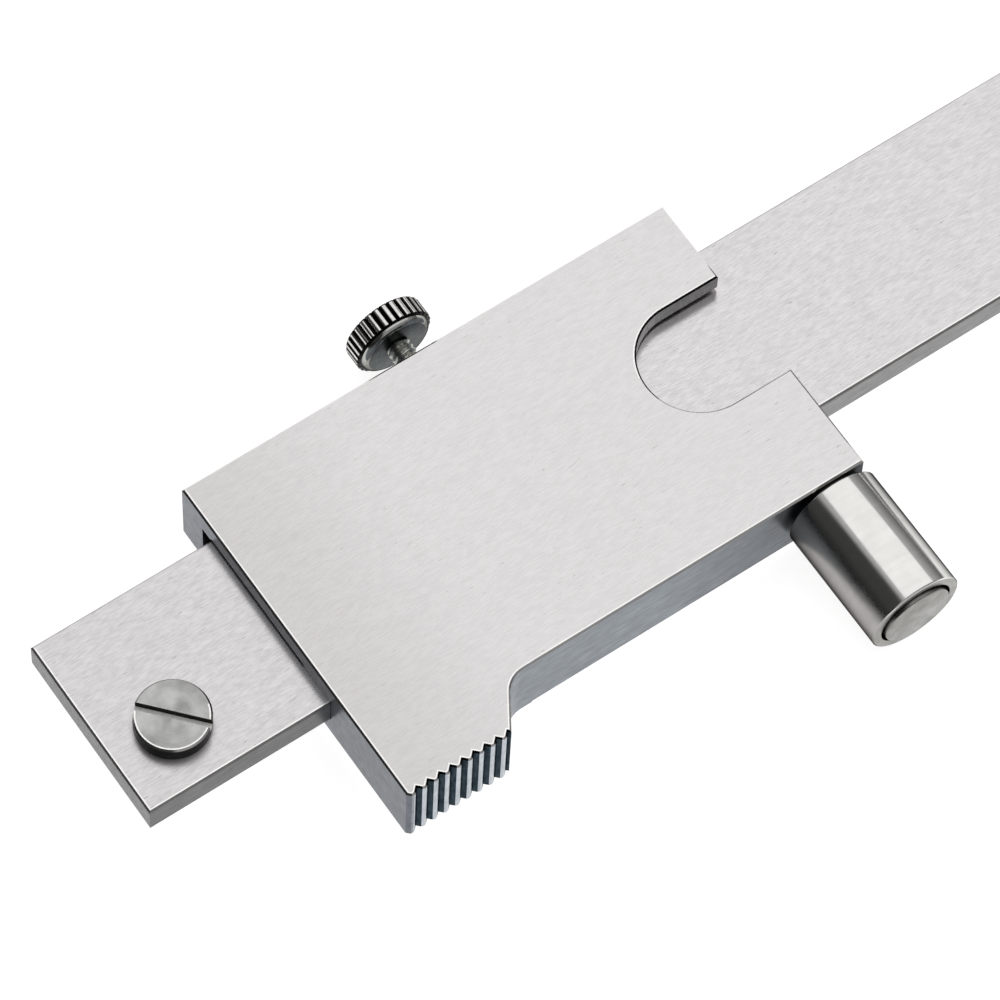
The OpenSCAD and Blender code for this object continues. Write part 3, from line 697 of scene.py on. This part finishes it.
# Ridges and chamfer: bright turned steel
lock_steel = steel("turned_lock_screw_steel", "#E6E4E2", "#D0CECB", 0.2, (0.3, 0.3, 0.3), 0.0008,
                   edge="#141414")
# Grooves of the knurl and the inner ends of its ridges: painted black as shade
knurl_shade = steel("knurl_groove_painted_shade", "#23201F", "#121110", 0.4, (0.3, 0.3, 0.3), 0.001)
# Inner face: turned and painted a cool dark grey as shade
shaded_face = turned_steel("turned_face_painted_shade", "#424B4A", "#262C2B", 0.3, Vector((lock_x, 0, lock_z)), "Y",
                           0.15, 0.001)
# Rounded shoulder between face and ridges: polished, dark but for one bright glint along its top
shoulder_steel = steel("polished_shoulder_steel", "#BDBDB9", "#A8A8A4", 0.14, (0.3, 0.3, 0.3), 0.0005,
                       edge="#141414")
shaded_knurl_index, inner_face, rounded = 1, 2, 3
for face in form.faces:
    face_y = face.calc_center_median().y
    in_groove = off_axis(face, lock_x, lock_z) < head_r - knurl_unshaded_depth and abs(face.normal.y) < mostly_end
    if face.normal.y < -nearly_level:
        face.material_index = inner_face
    elif face_y < head_y + shoulder_l:
        face.material_index = rounded
    elif face_y < head_y + ridge_start or in_groove:
        face.material_index = shaded_knurl_index
head = made(form, "lock_screw_knurled_head", lock_steel, knurl_shade, shaded_face, shoulder_steel)
belongs(head, "lock_screw", "turned_stainless", "lock_screw")

# Its stem: a thicker part that runs in the slider, ends in a bevel just above it that is painted near
# white as a highlight, and from there to the head a core with the thread wound round it
stem_low = slider_high.y - stem_sunk
step_y = slider_high.y + stem_proud
neck_y = step_y + stem_bevel
stem_end = head_y + stem_overlap
stem_steel = steel("oiled_thread_steel", "#CDCDC6", "#8C8C86", 0.3, (0.3, 0.3, 0.3), 0.0004)
bevel_highlight_steel = steel("turned_bevel_painted_highlight", "#F4F3F0", "#E4E3E0", 0.34, (0.3, 0.3, 0.3), 0.0002)
form = turned(lock_x, lock_z, [
    (0, stem_low), (stem_r, stem_low), (stem_r, step_y), (stem_r - stem_bevel, neck_y),
    (thread_root_r, neck_y), (thread_root_r, stem_end), (0, stem_end)], steps=48)
turns = int((head_y - neck_y) / thread_pitch)
start = head_y - turns * thread_pitch
foot_r = thread_root_r - thread_sunk
corners = [form.verts.new((lock_x, start + up * thread_pitch, lock_z + r))
           for up, r in ((thread_foot[0], foot_r), (thread_crest[0], thread_r),
                         (thread_crest[1], thread_r), (thread_foot[1], foot_r))]
tooth = form.faces.new(corners)
bmesh.ops.spin(form, geom=[tooth, *tooth.edges, *tooth.verts], cent=(lock_x, 0, lock_z), axis=(0, 1, 0),
               dvec=(0, thread_pitch / thread_steps, 0), angle=2 * pi * turns, steps=thread_steps * turns,
               use_merge=False, use_duplicate=False)
bmesh.ops.recalc_face_normals(form, faces=form.faces)
for face in form.faces:
    if step_y < face.calc_center_median().y < neck_y:
        face.material_index = 1
stem = made(form, "lock_screw_thread", stem_steel, bevel_highlight_steel)
belongs(stem, "lock_screw", "turned_stainless")


# Guide roller: a hardened sleeve, ground and polished, which turns on a shouldered pin. The head
# of the pin stands a little out of the end of the sleeve, inside a dark open ring.
sleeve_low, sleeve_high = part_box("roller_sleeve")
roller_x, roller_z = (sleeve_low.x + sleeve_high.x) / 2, (sleeve_low.z + sleeve_high.z) / 2
roller_r = (sleeve_high.z - sleeve_low.z) / 2
roller_bevel, mouth_r, bore_r, mouth_depth = 0.1 * MM, 3.12 * MM, 2.05 * MM, 1.05 * MM
softened = 0.03 * MM


def soften(form, width, segments=2):
    """Rounds the sharp edges of a turned piece a little."""
    sharp = [edge for edge in form.edges if edge.calc_face_angle(0) > sharp_angle]
    bmesh.ops.bevel(form, geom=sharp, affect="EDGES", offset=width, segments=segments, profile=0.5,
                    material=-1, clamp_overlap=True)


form = turned(roller_x, roller_z, [
    (mouth_r, sleeve_low.y), (roller_r - roller_bevel, sleeve_low.y),
    (roller_r, sleeve_low.y + roller_bevel), (roller_r, sleeve_high.y - roller_bevel),
    (roller_r - roller_bevel, sleeve_high.y), (bore_r, sleeve_high.y),
    (bore_r, sleeve_low.y + mouth_depth), (mouth_r, sleeve_low.y + mouth_depth)], steps=160)
soften(form, softened)
roller_axis = Vector((roller_x, 0, roller_z))
# Polished running face: nearly a mirror, a little wavy, and darker where it turns away
polished = turned_steel("polished_roller_steel", "#E8E7E4", "#DEDDDA", 0.13, roller_axis, "Y", 0.5, 0.003,
                        edge="#303234")
# On its side towards the stop end it is painted grey as shade and made rougher; both turn with it
roller_shade_side, roller_shade_start, roller_shade_full, roller_shade_dulling = (-0.985, 0, -0.174), 0.42, 0.74, 0.17
tree = polished.node_tree
shader = tree.nodes["Principled BSDF"]
bare = shader.inputs["Base Color"].links[0].from_socket
clean = shader.inputs["Roughness"].links[0].from_socket
place = add(tree, "ShaderNodeTexCoord").outputs["Object"]
arm = add(tree, "ShaderNodeVectorMath", {0: place, 1: roller_axis}, operation="SUBTRACT").outputs[0]
arm = add(tree, "ShaderNodeVectorMath", {0: arm, 1: (1, 0, 1)}, operation="MULTIPLY").outputs[0]
arm = add(tree, "ShaderNodeVectorMath", {0: arm}, operation="NORMALIZE").outputs[0]
roller_shade_share = add(tree, "ShaderNodeVectorMath", {0: arm, 1: roller_shade_side}, operation="DOT_PRODUCT").outputs["Value"]
roller_shade_share = ramp(tree, roller_shade_share, roller_shade_start, roller_shade_full, smooth=True)
roller_shaded_tint = blend(tree, roller_shade_share, bare, colour("#C2C0C0"), blend_type="MULTIPLY")
tree.links.new(roller_shaded_tint, shader.inputs["Base Color"])
dulled = add(tree, "ShaderNodeMath", {0: roller_shade_share, 1: roller_shade_dulling, 2: clean}, operation="MULTIPLY_ADD")
tree.links.new(dulled.outputs[0], shader.inputs["Roughness"])
# End face: faced on the lathe, a warm mid grey
faced_end = turned_steel("faced_roller_end", "#9A9994", "#888782", 0.3, roller_axis, "Y", 0.1, 0.001)
# The mouth, the open ring round the pin head, is painted dark as shade
end_face, mouth = 1, 2
for face in form.faces:
    if abs(face.normal.y) > mostly_end:
        face.material_index = end_face
    elif off_axis(face, roller_x, roller_z) < mouth_r + weld_gap:
        face.material_index = mouth
sleeve = made(form, "roller_sleeve_polished", polished, faced_end, painted_dark_shade)
belongs(sleeve, "roller", "ground_steel", "roller_sleeve")

pin_low, pin_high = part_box("roller_pin")
pin_head_r, pin_head_t, pin_r, pin_tail_r = 2.86 * MM, 1.3 * MM, 2.0 * MM, 1.5 * MM
pin_edge = 0.08 * MM
shoulder_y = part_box("roller_washer")[1].y
form = turned(roller_x, roller_z, [
    (0, pin_low.y), (pin_head_r - pin_edge, pin_low.y), (pin_head_r, pin_low.y + pin_edge),
    (pin_head_r, pin_low.y + pin_head_t), (pin_r, pin_low.y + pin_head_t), (pin_r, shoulder_y),
    (pin_tail_r, shoulder_y), (pin_tail_r, pin_high.y), (0, pin_high.y)])
soften(form, softened)
pin_face = turned_steel("turned_pin_face", "#9B9A96", "#7D7C78", 0.3, roller_axis, "Y", 0.1, 0.0015)
pin = made(form, "roller_pin_turned", pin_face)
belongs(pin, "slider", "ground_steel", "roller_pin")
